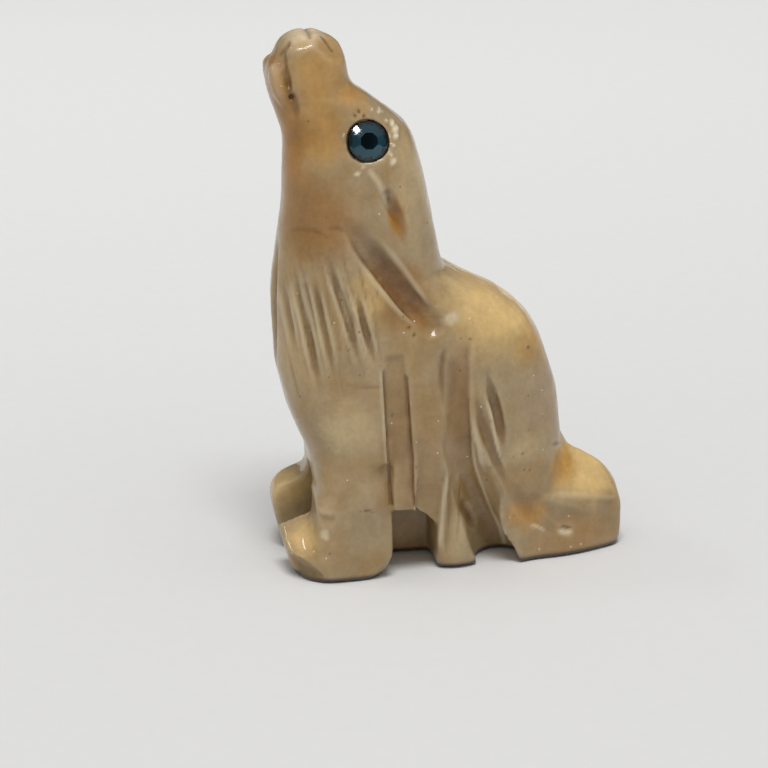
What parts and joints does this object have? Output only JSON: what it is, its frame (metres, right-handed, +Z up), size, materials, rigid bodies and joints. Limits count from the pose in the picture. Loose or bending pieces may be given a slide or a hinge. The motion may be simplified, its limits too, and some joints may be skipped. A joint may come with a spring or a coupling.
{
  "type": "carved stone animal figurine",
  "caption": "Small sitting, howling coyote carved from polished stone, with a foil-backed crystal glued into a socket on each side of its head.",
  "frame": {"origin": "on the floor under the centre of the bounding box", "axes": "+Z up through the raised muzzle, -X the way the animal faces, -Y its left side"},
  "size_m": [0.023, 0.0104, 0.0351],
  "materials": {
    "polished_stone": "hand-polished tan stone with a clear lacquer",
    "crystal": "cut and polished teal-blue glass",
    "foil": "dark blue mirror foil",
    "glue": "clear yellowed adhesive"
  },
  "bodies": {
    "root": {"stone_body": "polished_stone", "left_eye_crystal": "crystal", "left_eye_foil": "foil", "left_eye_glue": "glue", "right_eye_crystal": "crystal", "right_eye_foil": "foil", "right_eye_glue": "glue"}
  },
  "joints": []
}
